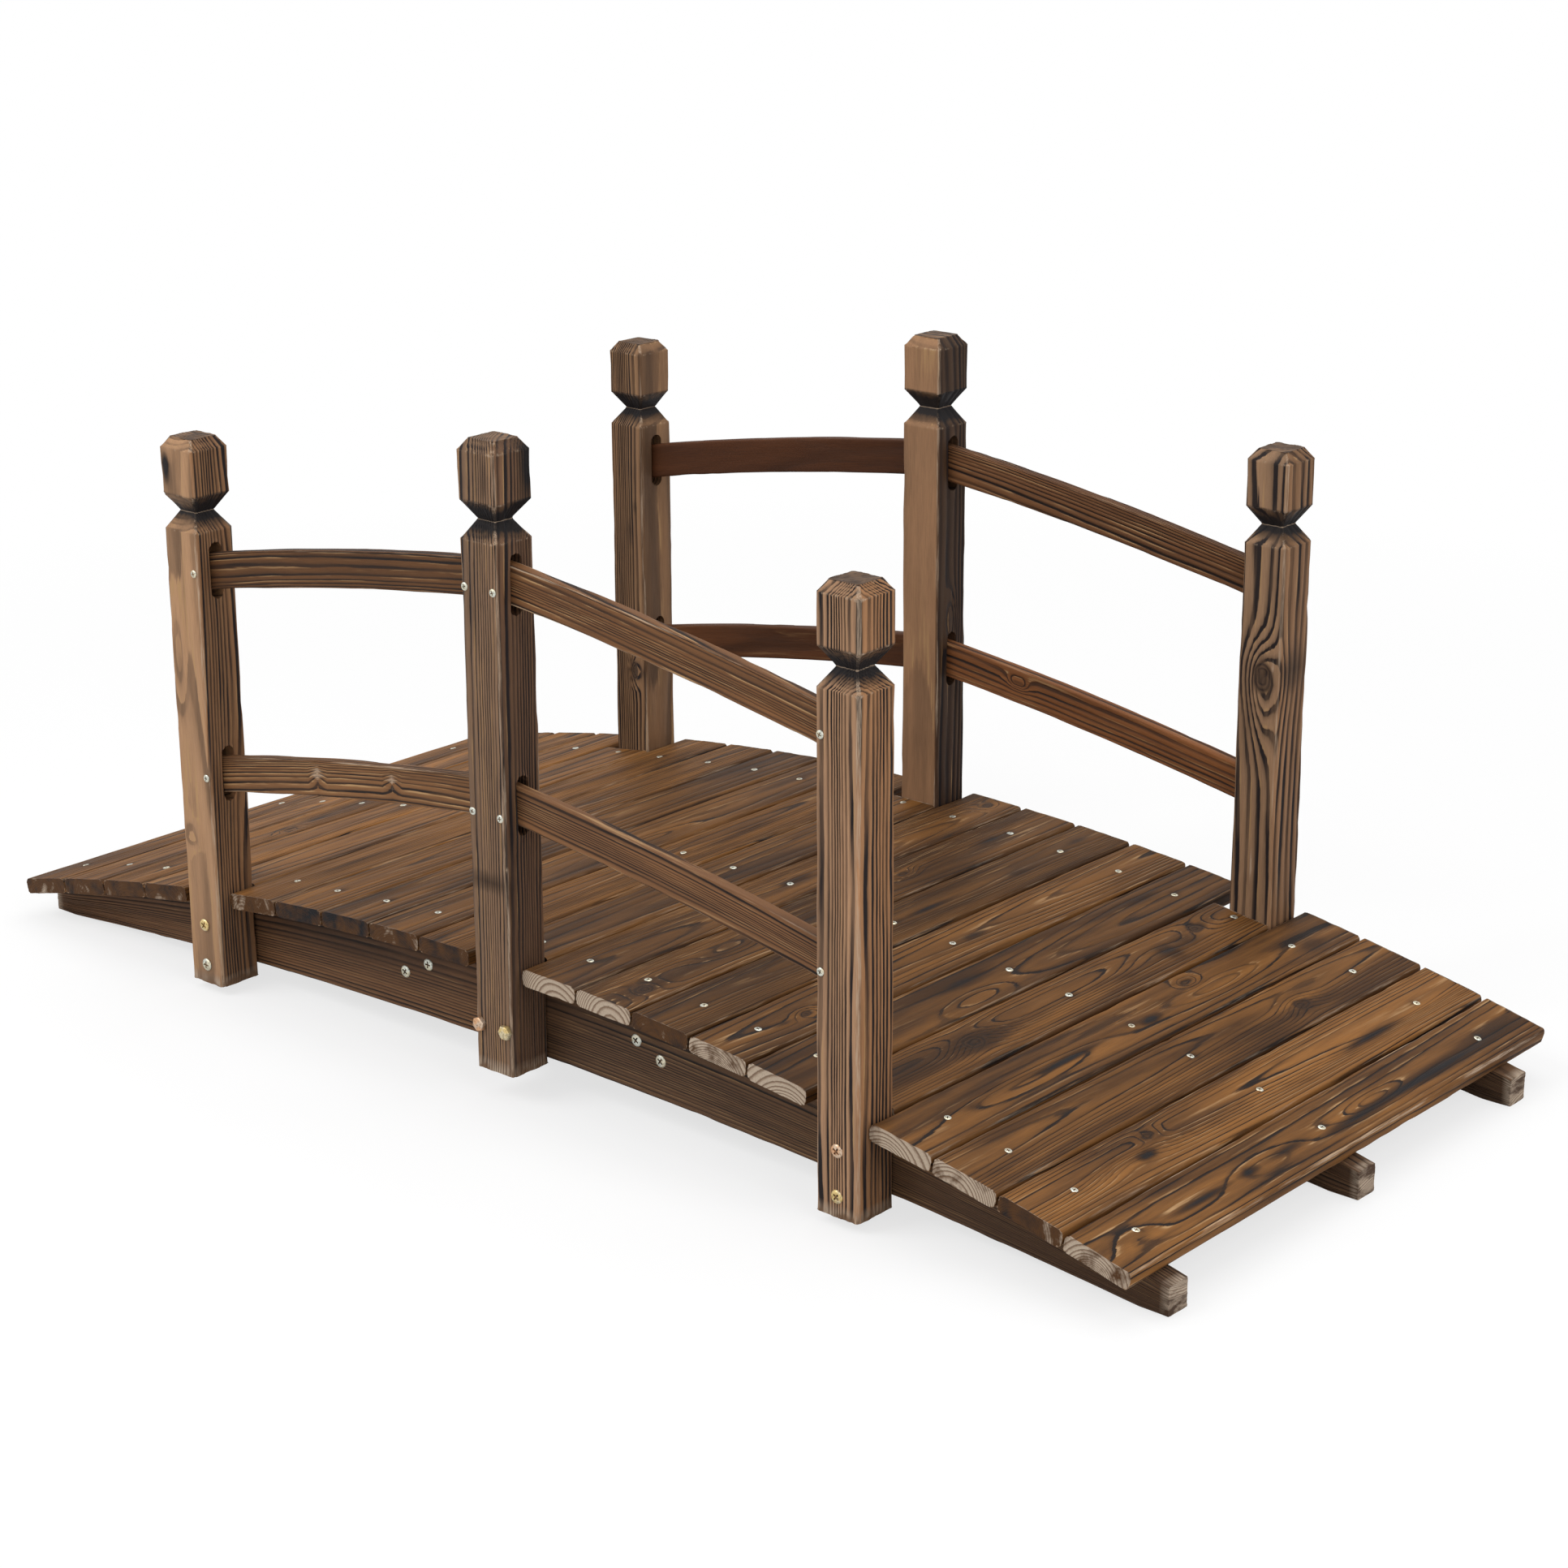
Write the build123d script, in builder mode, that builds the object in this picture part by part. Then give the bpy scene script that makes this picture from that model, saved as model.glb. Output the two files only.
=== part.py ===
"""Small arched garden footbridge of charred fir: curved stringers, cross planks,
six square posts with notched necks, and arched hand rails.

Millimetres. X runs along the bridge, Y across it from the front side to the back side,
Z is up. The origin lies on the floor under the middle of the front and back middle posts.
"""
from build123d import *
from math import asin, cos, degrees, sin, sqrt
import os

# Plan of the frame
post_spacing = 430.0        # along the bridge, middle post to end post, centre to centre
frame_half_width = 297.0    # centre line to the outer face of an outer stringer
butt_gap = 0.6              # between the two halves of a stringer

# Posts
post_side = 50.0
post_edge_ease = 3.5        # chamfer on the long edges
end_foot_height = 10.0      # foot of an end post above the floor
middle_foot_height = 29.0
shoulder_height = 494.0     # top of the plain shaft of an end post
middle_post_raise = 59.0    # how much higher everything above the shaft is on a middle post
neck_side = 25.5
shoulder_rise = 18.0        # shoulder up to the neck
block_rise = 18.0           # neck up to the underside of the block
block_height = 47.0
cap_rise = 11.0
cap_side = 34.0             # flat square on top of the block

# Deck
deck_crown_height = 138.0   # walking surface above the floor at mid span
deck_radius = 3100.0
planks_between_posts = 5
planks_past_end_post = 4
plank_gap = 2.4
plank_thickness = 17.0
plank_edge_radius = 4.0
front_overhang = 36.0       # plank ends past the outer face of the front stringer
back_overhang = 60.0
plank_post_clearance = 2.4  # a post stands this close to the plank on its right
fit_clearance = 0.3         # between pieces that are seated on or in each other

# Stringers
stringer_thickness = 28.0
stringer_belly_rise = 33.0  # underside of a stringer above the floor at mid span
stringer_seat_length = 30.0  # flat that rests on the floor at each end
stringer_reach = 2.5        # past the end of a deck that lies centred

# Cross braces between the stringers, and the block that joins the middle stringer's halves
brace_place = 159.0         # from mid span
brace_width = 58.0
brace_height = 40.0
brace_below_deck = 12.0     # top of a brace below the top edge of the stringers
splice_length = 150.0
splice_thickness = 24.0
splice_height = 60.0

# Rails
rail_thickness = 14.0
rail_depth = 38.0
rail_radius = 4200.0
upper_rail_middle_height = 534.0  # top edge at the middle post's centre line
rail_fall = 67.0            # drop of that edge from the middle post to an end post
rail_spacing = 214.0        # upper rail to lower rail
tenon_length = 20.0
mortise_depth = 21.0
mortise_height = 58.0

sides = {"front": -1, "back": 1}
ends = {"left": -1, "right": 1}
post_places = {"left": -post_spacing, "middle": 0.0, "right": post_spacing}

# Values that follow from the sizes above
bay_planks = planks_between_posts + 1
last_plank = bay_planks + planks_past_end_post
bay_arc = deck_radius * asin(post_spacing / deck_radius)
plank_pitch = bay_arc / bay_planks
plank_width = plank_pitch - plank_gap
deck_shift = post_side / 2 + plank_post_clearance - plank_pitch / 2 - plank_gap / 2
plank_centre_y = (back_overhang - front_overhang) / 2
full_plank_length = 2 * frame_half_width + front_overhang + back_overhang
short_plank_length = 2 * (frame_half_width - fit_clearance)
post_centre_y = frame_half_width + post_side / 2
outer_stringer_y = frame_half_width - stringer_thickness / 2
stringer_top_crown = deck_crown_height - plank_thickness - fit_clearance
stringer_top_radius = deck_radius - plank_thickness - fit_clearance
deck_half_length = deck_radius * sin((last_plank + 0.5) * plank_pitch / deck_radius)
stringer_half_length = deck_half_length + stringer_reach
belly_half_span = stringer_half_length - stringer_seat_length
belly_radius = (belly_half_span**2 + stringer_belly_rise**2) / (2 * stringer_belly_rise)
rail_bulge = rail_radius - sqrt(rail_radius**2 - (post_spacing / 2) ** 2)

os.makedirs("parts", exist_ok=True)


def save(piece, name):
    """Label a finished piece and write it to its own file."""
    piece.part.label = name
    export_step(piece.part, f"parts/{name}.step")


def height_on_arc(x, crown, radius):
    """Height at x of an arc whose highest point is at mid span."""
    return crown - radius + sqrt(radius**2 - x**2)


def upright_plane(y):
    """Plane across the bridge at y, with X to the right and Z up."""
    return Plane.XZ.offset(-y)


def cross_plank(index, length, centre_y):
    """One plank, laid flat on the arch at its own slope. Index 0 is the one at mid span."""
    slope = (index * plank_pitch + deck_shift) / deck_radius
    radius = deck_radius - plank_thickness / 2
    centre = (radius * sin(slope), centre_y, deck_crown_height - deck_radius + radius * cos(slope))
    section_plane = Plane(origin=centre, x_dir=(cos(slope), 0, -sin(slope)), z_dir=(0, -1, 0))
    with BuildPart() as plank:
        with BuildSketch(section_plane):
            RectangleRounded(plank_width, plank_thickness, plank_edge_radius)
        extrude(amount=length / 2, both=True)
    return plank


def half_stringer(end, centre_y):
    """One half of an arched stringer: curved top, curved belly and a flat seat at the end."""
    inner = butt_gap / 2
    middle = belly_half_span / 2
    top_inner = height_on_arc(inner, stringer_top_crown, stringer_top_radius)
    top_middle = height_on_arc(stringer_half_length / 2, stringer_top_crown, stringer_top_radius)
    top_outer = height_on_arc(stringer_half_length, stringer_top_crown, stringer_top_radius)
    belly_inner = height_on_arc(inner, stringer_belly_rise, belly_radius)
    belly_middle = height_on_arc(middle, stringer_belly_rise, belly_radius)
    with BuildPart() as half:
        with BuildSketch(upright_plane(centre_y)):
            with BuildLine():
                Line((end * inner, belly_inner), (end * inner, top_inner))
                ThreePointArc(
                    (end * inner, top_inner),
                    (end * stringer_half_length / 2, top_middle),
                    (end * stringer_half_length, top_outer),
                )
                Line((end * stringer_half_length, top_outer), (end * stringer_half_length, 0))
                Line((end * stringer_half_length, 0), (end * belly_half_span, 0))
                ThreePointArc(
                    (end * belly_half_span, 0),
                    (end * middle, belly_middle),
                    (end * inner, belly_inner),
                )
            make_face()
        extrude(amount=stringer_thickness / 2, both=True)
    return half


def rail_top(distance, which):
    """Height of a rail's top edge at a distance from the middle posts' centre line."""
    drop = rail_spacing if which == "lower" else 0
    chord = upper_rail_middle_height - drop - rail_fall * distance / post_spacing
    from_middle = distance - post_spacing / 2
    return chord + sqrt(rail_radius**2 - from_middle**2) - (rail_radius - rail_bulge)


def arched_rail(side, end, which):
    """One rail of one bay, a gentle arc whose ends sit in the posts' mortises."""
    start = post_side / 2 - tenon_length
    finish = post_spacing - post_side / 2 + tenon_length
    middle = (start + finish) / 2
    top = [(end * x, rail_top(x, which)) for x in (start, middle, finish)]
    bottom = [(x, z - rail_depth) for x, z in top]
    with BuildPart() as rail:
        with BuildSketch(upright_plane(side * post_centre_y)):
            with BuildLine():
                ThreePointArc(*top)
                Line(top[2], bottom[2])
                ThreePointArc(*reversed(bottom))
                Line(bottom[0], top[0])
            make_face()
        extrude(amount=rail_thickness / 2, both=True)
    return rail


def post_section(x, y, z, side):
    """Square cross section of a post with its corners eased in proportion."""
    with BuildSketch(Plane.XY.offset(z)) as section:
        with Locations((x, y)):
            Rectangle(side, side)
        chamfer(section.vertices(), post_edge_ease * side / post_side)
    return section.sketch


def notched_post(side, place):
    """A post with its neck, block head and cap, and the mortises that hold the rails."""
    x = post_places[place]
    y = side * post_centre_y
    foot = middle_foot_height if place == "middle" else end_foot_height
    shoulder = shoulder_height + (middle_post_raise if place == "middle" else 0)
    neck = shoulder + shoulder_rise
    block = neck + block_rise
    block_top = block + block_height
    profile = [
        (foot, post_side),
        (shoulder, post_side),
        (neck, neck_side),
        (block, post_side),
        (block_top, post_side),
        (block_top + cap_rise, cap_side),
    ]
    bays = {"left": [1], "middle": [-1, 1], "right": [-1]}[place]
    distance = post_side / 2 if place == "middle" else post_spacing - post_side / 2
    with BuildPart() as post:
        loft(sections=[post_section(x, y, z, width) for z, width in profile], ruled=True)
        for bay in bays:
            for which in ("upper", "lower"):
                height = rail_top(distance, which) - rail_depth / 2
                face = Plane(origin=(x + bay * post_side / 2, y, height), x_dir=(0, 0, 1), z_dir=(bay, 0, 0))
                with BuildSketch(face):
                    SlotOverall(mortise_height, rail_thickness + 2 * fit_clearance)
                extrude(amount=-mortise_depth, mode=Mode.SUBTRACT)
    return post


def cross_brace(end, low_y, high_y):
    """A short board between two stringers, under the deck."""
    outer_edge = brace_place + brace_width / 2
    top = height_on_arc(outer_edge, stringer_top_crown, stringer_top_radius) - brace_below_deck
    with BuildPart() as brace:
        with BuildSketch(upright_plane((low_y + high_y) / 2)):
            with Locations((end * brace_place, top - brace_height / 2)):
                Rectangle(brace_width, brace_height)
        extrude(amount=(high_y - low_y) / 2, both=True)
    return brace


# Deck planks, numbered from the left end. Those at the posts are short and stop between them.
for index in range(-last_plank, last_plank + 1):
    at_post = index % bay_planks == 0 and abs(index) <= bay_planks
    length = short_plank_length if at_post else full_plank_length
    centre_y = 0 if at_post else plank_centre_y
    save(cross_plank(index, length, centre_y), f"plank_{index + last_plank + 1:02d}")

# Stringers, each in two halves that butt at mid span
stringer_rows = {"front": -outer_stringer_y, "middle": plank_centre_y, "back": outer_stringer_y}
for row, centre_y in stringer_rows.items():
    for end_name, end in ends.items():
        save(half_stringer(end, centre_y), f"stringer_{row}_{end_name}")

# Braces between each outer stringer and the middle one
inner_face = outer_stringer_y - stringer_thickness / 2
middle_front_face = plank_centre_y - stringer_thickness / 2
middle_back_face = plank_centre_y + stringer_thickness / 2
for end_name, end in ends.items():
    save(cross_brace(end, -inner_face, middle_front_face), f"brace_front_{end_name}")
    save(cross_brace(end, middle_back_face, inner_face), f"brace_back_{end_name}")

# Block screwed to the side of the middle stringer, across its butt joint
splice_top = height_on_arc(splice_length / 2, stringer_top_crown, stringer_top_radius) - fit_clearance
with BuildPart() as splice_block:
    with BuildSketch(upright_plane(middle_back_face + splice_thickness / 2)):
        with Locations((0, splice_top - splice_height / 2)):
            Rectangle(splice_length, splice_height)
    extrude(amount=splice_thickness / 2, both=True)
save(splice_block, "splice_block")

# Posts and rails
for side_name, side in sides.items():
    for place in post_places:
        save(notched_post(side, place), f"post_{side_name}_{place}")
    for end_name, end in ends.items():
        for which in ("upper", "lower"):
            save(arched_rail(side, end, which), f"rail_{side_name}_{end_name}_{which}")

print("plank pitch", round(plank_pitch, 2), "deck shift", round(deck_shift, 2))
print("deck slope at the ends", round(degrees(last_plank * plank_pitch / deck_radius), 2), "degrees")
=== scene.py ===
"""Looks of a small arched garden footbridge of charred and brushed fir.

Lengths are metres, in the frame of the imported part: X along the bridge, Y across it, Z up,
with the floor at Z = 0. Each board is cut as a straight blank in its own board frame (along the
grain, then the two directions of its section), gets its relief there, and is then laid in place.
"""

from dataclasses import dataclass
from functools import partial
from itertools import product
from math import asin, cos, pi, radians, sin, sqrt

import bmesh
import bpy
import numpy as np
from mathutils import Matrix, Vector


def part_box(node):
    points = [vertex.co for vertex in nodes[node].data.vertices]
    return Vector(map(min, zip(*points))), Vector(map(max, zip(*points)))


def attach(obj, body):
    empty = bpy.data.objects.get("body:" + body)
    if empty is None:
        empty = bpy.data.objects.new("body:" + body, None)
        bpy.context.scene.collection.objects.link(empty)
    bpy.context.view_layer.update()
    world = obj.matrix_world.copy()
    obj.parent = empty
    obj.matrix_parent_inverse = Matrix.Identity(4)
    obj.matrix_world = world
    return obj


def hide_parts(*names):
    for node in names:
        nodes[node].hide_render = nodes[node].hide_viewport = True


bl_info = {
    "name": "Charred fir footbridge",
    "version": (1, 0, 0),
    "blender": (4, 5, 0),
    "location": "3D View > Sidebar > Footbridge",
    "description": "Boards, fasteners, finishes and a plain studio for an arched garden footbridge",
    "category": "Object",
}

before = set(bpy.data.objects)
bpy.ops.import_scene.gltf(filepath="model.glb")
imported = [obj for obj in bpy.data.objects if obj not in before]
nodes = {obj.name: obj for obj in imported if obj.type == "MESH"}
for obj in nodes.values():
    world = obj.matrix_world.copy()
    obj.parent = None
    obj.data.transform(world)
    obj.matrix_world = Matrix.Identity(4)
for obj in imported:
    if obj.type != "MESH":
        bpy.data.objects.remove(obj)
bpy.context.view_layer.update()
sides = {"front": -1, "back": 1}
places = ("left", "middle", "right")
bays = {"left": [1], "middle": [-1, 1], "right": [-1]}  # which way the rails run from each post

# Deck
deck_radius = 3.1
plank_width = 0.0695
plank_thickness = 0.017
plank_edge_radius = 0.004
plank_chips = 0.0006        # depth of the chips along the edges
plank_step_down = 0.002     # mesh spacing through the thickness
top_face = plank_thickness / 2
screw_rows = (-0.272, 0.009, 0.283)
row_by_end = 0.0015         # a row of the mesh lies this far from each end
row_by_screw = 0.0045       # and this far from each screw

# Stringers and braces. Relief is the depth of the brushed grooves and of the chips.
stringer_top_crown = 0.1207
stringer_top_radius = 3.0827
stringer_seat = 0.030
stringer_depth = 0.088
stringer_face = 0.297       # from the bridge's centre line
belly_rise = 0.033
frame_ease = 0.0015
frame_step = 0.0020
stringer_relief = (0.0006, 0.0008)
brace_relief = (0.0005, 0.0006)

# Posts, from the top of the plain shaft up
shoulder_rise = 0.018
block_rise = 0.018
block_height = 0.047
cap_rise = 0.011
post_side = 0.050
neck_side = 0.0255
cap_side = 0.034
post_ease = 0.0035
post_sharpness = 1.3
post_chips = 0.0008
mortise_height = 0.058
mortise_width = 0.0146
mortise_depth = 0.021
row_by_ledge = 0.0024       # rows of the mesh lie this far from each ledge
row_by_neck = 0.001         # from the neck
row_by_top = 0.0008         # and from the top

# Rails
rail_radius = 4.2
rail_depth = 0.038
rail_thickness = 0.014
rail_ease = 0.002
rail_relief = (0.0005, 0.0008)
rail_spacing = 0.214
upper_rail_middle_height = 0.534
rail_fall = 0.067

# Screws and bolts: heights above the floor, places along the bridge, and which finish they have
bright, yellow, reddish = range(3)
rail_screw_heights = {"left": (0.453, 0.238), "middle": (0.508, 0.290), "right": (0.453, 0.238)}
rail_screw_reach = 0.0185   # from the middle of a post
post_screws = {"left": ((0.074, yellow), (0.030, bright)), "right": ((0.074, reddish), (0.030, yellow))}
post_bolts = ((-0.0175, reddish), (0.0175, yellow))
bolt_height = 0.075
brace_screws = ((-0.178, 0.072), (-0.144, 0.088), (0.141, 0.0845), (0.172, 0.0715))
head_sink = 0.0004          # how far a head is pressed into the wood
deck_head_sink = 0.0006
deck_screw_stray = (0.004, 0.003)   # how far a deck screw strays along and across its plank

# Heads: width, dome and depth of the cross recess. A deck screw's width is a property.
deck_head = (0.0006, 0.0012)
rail_head = (0.0082, 0.0008, 0.0014)
post_head = (0.0135, 0.0012, 0.0024)
brace_head = (0.0130, 0.0012, 0.0024)
bolt_head_height = 0.0050
recess_length = 0.56        # as shares of the head's width
recess_width = 0.13

# Clean early wood, the same wood smoked and its dark winter rings, then how they show
fir_looks = {
    "deck_fir": dict(light=(0.225, 0.096, 0.025), middle=(0.068, 0.029, 0.0095),
                     late=(0.012, 0.007, 0.005), thin=0.72, even=0.6, smoky=2.9),
    "post_fir": dict(light=(0.285, 0.163, 0.088), middle=(0.155, 0.090, 0.051),
                     late=(0.015, 0.011, 0.011), thin=0.46, even=0.9, smoky=1.5),
    "rail_fir": dict(light=(0.195, 0.091, 0.038), middle=(0.089, 0.042, 0.020),
                     late=(0.015, 0.009, 0.007), thin=0.5, even=0.85, smoky=1.5),
    "frame_fir": dict(light=(0.125, 0.066, 0.034), middle=(0.066, 0.036, 0.021),
                      late=(0.015, 0.010, 0.008), thin=0.5, even=0.7, smoky=1.5, rubbed_pale_and_glint=0.5),
}


def length_property(label, what, default):
    """A length that a user may change."""
    return bpy.props.FloatProperty(
        name=label, description=what, default=default, unit="LENGTH", precision=5)


def colour_property(label, what, default):
    """A colour that a user may change."""
    return bpy.props.FloatVectorProperty(
        name=label, description=what, subtype="COLOR", size=4, min=0, max=1, default=default)


class BridgeSizes(bpy.types.PropertyGroup):
    """Sizes of the surface relief and of the fasteners."""

    across_step: length_property("Step across", "Mesh spacing across the grain", 0.0012)
    along_step: length_property("Step along", "Mesh spacing along the grain", 0.0100)
    post_across: length_property("Post step across", "Mesh spacing across the grain of a post", 0.0009)
    post_along: length_property("Post step along", "Mesh spacing along the grain of a post", 0.0130)
    deck_groove: length_property("Deck groove", "Depth of the brushed grooves of the deck", 0.00045)
    post_groove: length_property("Post groove", "Depth of the brushed grooves of the posts", 0.0009)
    deck_screw_head: length_property("Deck screw head", "Diameter of a deck screw's head", 0.0078)
    bolt_head: length_property("Bolt head", "Width across flats of a bolt's head", 0.013)


class BridgeColours(bpy.types.PropertyGroup):
    """Colours of the finishes."""

    char: colour_property("Char", "Deeply burnt wood", (0.010, 0.009, 0.010, 1))
    worn: colour_property("Worn", "Wood rubbed pale on edges and ridges", (0.42, 0.31, 0.22, 1))
    # Ridge colour: the pale line beside each ring line, partly wood rubbed bare and partly a painted
    # highlight
    ridge_wear_and_glint: colour_property("Ridge", "Ridges of the grain rubbed light", (0.36, 0.215, 0.10, 1))
    sawn: colour_property("Sawn", "Freshly cut end grain", (0.46, 0.365, 0.275, 1))
    zinc: colour_property("Zinc", "Bright zinc plating", (0.60, 0.61, 0.54, 1))
    brass: colour_property("Brass", "Yellow passivated plating", (0.66, 0.50, 0.22, 1))
    copper: colour_property("Copper", "Reddish passivated plating", (0.62, 0.36, 0.20, 1))
    floor: colour_property("Floor", "Studio floor", (0.80, 0.80, 0.80, 1))


def sizes():
    """The scene's size properties."""
    return bpy.context.scene.bridge_sizes


def colours():
    """The scene's colour properties."""
    return bpy.context.scene.bridge_colours


# Shader graph helpers

def add_node(tree, kind, inputs=None, **settings):
    """Add a shader node. An input given as a socket is linked, and any other value is set."""
    made = tree.nodes.new("ShaderNode" + kind)
    for name, value in settings.items():
        setattr(made, name, value)
    for key, value in (inputs or {}).items():
        if isinstance(value, bpy.types.NodeSocket):
            tree.links.new(value, made.inputs[key])
        else:
            made.inputs[key].default_value = value
    return made


def maths(tree, operation, first, second=0.0, extra=0.0, clamp=False):
    """Output of a Math node. Extra is what MULTIPLY_ADD adds."""
    made = add_node(tree, "Math", {0: first, 1: second, 2: extra}, operation=operation, use_clamp=clamp)
    return made.outputs[0]


def mixed(tree, share, first, second, blend="MIX"):
    """Output colour of a Mix node."""
    made = add_node(tree, "Mix", {0: share, 6: first, 7: second}, data_type="RGBA", blend_type=blend)
    return made.outputs[2]


def ramp(tree, value, *stops):
    """Output of a Color Ramp. A stop is its position and a grey level."""
    made = add_node(tree, "ValToRGB", {0: value})
    elements = made.color_ramp.elements
    while len(elements) < len(stops):
        elements.new(0.5)
    for element, (position, level) in zip(elements, stops):
        element.position = position
        element.color = (level, level, level, 1)
    return made.outputs[0]


def noise(tree, vector, stretch, detail, roughness, shift=(0, 0, 0)):
    """Noise over the coordinates given, with cycles per metre along each of them."""
    mapping = add_node(tree, "Mapping", {"Vector": vector, "Scale": stretch, "Location": shift})
    made = add_node(tree, "TexNoise", {
        "Vector": mapping.outputs[0], "Scale": 1.0, "Detail": detail, "Roughness": roughness})
    return made.outputs[0]


def new_material(name):
    """An empty node material with its shader and output. Returns it, its tree and its shader."""
    material = bpy.data.materials.new(name)
    material.use_nodes = True
    tree = material.node_tree
    tree.nodes.clear()
    shader = add_node(tree, "BsdfPrincipled")
    add_node(tree, "OutputMaterial", {0: shader.outputs[0]})
    return material, tree, shader


def charred_fir(name, light, middle, late, thin, even, smoky, rubbed_pale_and_glint=0.9):
    """Charred and brushed fir. The ring lines follow the board's own growth ring field.

    Light is clean early wood, middle the same wood smoked, late the dark winter rings. Thin is the
    share of each ring without a line, even how alike the lines are, smoky how much the smoke
    varies, and the last argument how pale the ridges beside the lines are: partly where feet and the
    brush took the skin off, partly a painted highlight where the ridges catch the light.
    """
    material, tree, shader = new_material(name)
    light, middle, late = ((*colour, 1) for colour in (light, middle, late))
    char, bare_wood, ridge_wood_and_glint, cut_wood = (
        tuple(colour) for colour in (colours().char, colours().worn, colours().ridge_wear_and_glint, colours().sawn))
    cut_ring = (0.15, 0.085, 0.048, 1)
    soot_brown = (*(0.42 * level for level in middle[:3]), 1)

    def field(which, output="Fac"):
        return add_node(tree, "Attribute", attribute_name=which).outputs[output]

    grain, tint = field("grain", "Vector"), field("tint", "Vector")
    ring, burn, worn, sawn, knot, lines, rub_and_glint = (
        field(which) for which in ("ring", "burn", "worn", "sawn", "knot", "lines", "rub_and_glint"))
    times, plus, less, scaled = (
        partial(maths, tree, operation) for operation in ("MULTIPLY", "ADD", "SUBTRACT", "MULTIPLY_ADD"))
    blend, curve, speckle = partial(mixed, tree), partial(ramp, tree), partial(noise, tree, grain)

    # Ring lines, a little ragged, each with its own strength, fading in and out along the board
    ragged = speckle((26, 420, 420), 3.0, 0.6)
    ring = plus(ring, times(less(ragged, 0.5), 0.26))
    share = maths(tree, "FRACT", ring)
    count = maths(tree, "FLOOR", ring)
    own = add_node(tree, "TexWhiteNoise", {"W": count}, noise_dimensions="1D").outputs["Value"]
    left = 1 - thin
    line = curve(share, (0.0, 0.5), (0.03, 0.0), (thin - 0.08, 0.0), (thin + 0.28 * left, 0.35),
                 (thin + 0.48 * left, 1.0), (0.97, 1.0), (1.0, 0.5))
    fade = curve(speckle((5, 70, 70), 2.0, 0.5, (8, 1, 4)), (0.36, 0.45), (0.58, 1.0))
    strength = times(scaled(own, 1.25 - even, even), fade)
    line = times(times(line, strength), lines, clamp=True)

    # Ground colour, with broad and fine variation along the fibres
    broad = speckle((4, 50, 50), 4.0, 0.6, (3, 7, 1))
    fibre = speckle((45, 1300, 1300), 4.0, 0.65, (1, 2, 5))
    smoked = scaled(less(broad, 0.5), smoky, 0.46)
    smoked = plus(smoked, times(less(own, 0.5), 0.25))
    smoked = plus(smoked, burn, clamp=True)
    ground = blend(1.0, blend(smoked, light, middle), tint, "MULTIPLY")
    ground = blend(1.0, ground, curve(fibre, (0.28, 0.76), (0.50, 0.98), (0.72, 1.10)), "MULTIPLY")
    colour = blend(line, ground, late)

    # Pale ridges beside the lines, partly where the brush and feet took the burnt skin off and partly
    # a painted highlight where each ridge catches the light
    pale = speckle((11, 230, 230), 3.0, 0.6, (5, 9, 2))
    ridge_wear_and_glint = curve(share, (0.0, 0.0), (0.03, 0.9), (0.10, 1.0), (0.24, 0.15), (0.40, 0.0))
    rubbed = less(pale, times(burn, 0.15))
    rubbed = times(curve(rubbed, (0.50, 0.0), (0.64, 1.0)), ridge_wear_and_glint)
    rubbed = times(times(rubbed, rubbed_pale_and_glint), rub_and_glint, clamp=True)
    colour = blend(rubbed, colour, ridge_wood_and_glint)

    # Smoky patches, then charcoal where the flame stayed longest
    streak = speckle((6, 110, 110), 4.0, 0.6, (11, 3, 8))
    patch = scaled(less(streak, 0.5), 0.8, burn)
    smoke = curve(patch, (0.18, 0.0), (0.66, 0.75))
    colour = blend(smoke, colour, blend(line, soot_brown, late))
    black = curve(patch, (0.66, 0.0), (0.98, 0.94))
    colour = blend(black, colour, char)

    # Edges rubbed bare
    rag = curve(scaled(worn, 0.16, pale), (0.58, 0.0), (0.74, 1.0))
    bare = times(rag, curve(worn, (0.15, 0.0), (0.90, 1.0)))
    bare = times(bare, scaled(black, -0.92, 1.0))
    bare = times(bare, curve(fibre, (0.42, 0.2), (0.56, 1.0)))
    crease = curve(times(worn, 0.5), (0.78, 0.0), (0.92, 0.8))
    bare = maths(tree, "MAXIMUM", times(bare, 0.8), crease)
    colour = blend(bare, colour, bare_wood)

    # Knots: dark brown with rings of their own
    whorl = maths(tree, "FRACT", times(knot, 4.0))
    heart = blend(curve(whorl, (0.0, 0.0), (0.6, 0.55), (1.0, 0.1)), late, middle)
    colour = blend(curve(knot, (0.02, 0.0), (0.18, 0.9)), colour, heart)

    # End grain, sawn after the boards were burnt and sooty in places
    cut_line = curve(share, (0.0, 0.6), (0.10, 0.0), (0.55, 0.08), (0.90, 0.9), (1.0, 0.6))
    end = blend(cut_line, cut_wood, cut_ring)
    end = blend(1.0, end, curve(fibre, (0.3, 0.7), (0.6, 1.0)), "MULTIPLY")
    soot = speckle((60, 110, 110), 3.0, 0.6, (2, 2, 9))
    scorch = scaled(less(soot, 0.5), 0.8, burn)
    end = blend(curve(scorch, (0.15, 0.0), (0.45, 1.0)), end, middle)
    end = blend(curve(scorch, (0.55, 0.0), (0.95, 1.0)), end, char)
    tree.links.new(blend(sawn, colour, end), shader.inputs["Base Color"])

    # Gloss and fine relief
    tree.links.new(scaled(fibre, 0.25, 0.48), shader.inputs["Roughness"])
    shader.inputs["Specular IOR Level"].default_value = 0.12
    height = curve(share, (0.0, 0.6), (0.06, 1.0), (0.55, 0.92), (0.82, 0.5), (0.93, 0.0), (1.0, 0.6))
    height = plus(times(height, lines), times(fibre, 0.7))
    bump = add_node(tree, "Bump", {"Height": height, "Strength": 0.7, "Distance": 0.0005})
    tree.links.new(bump.outputs[0], shader.inputs["Normal"])
    return material


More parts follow.
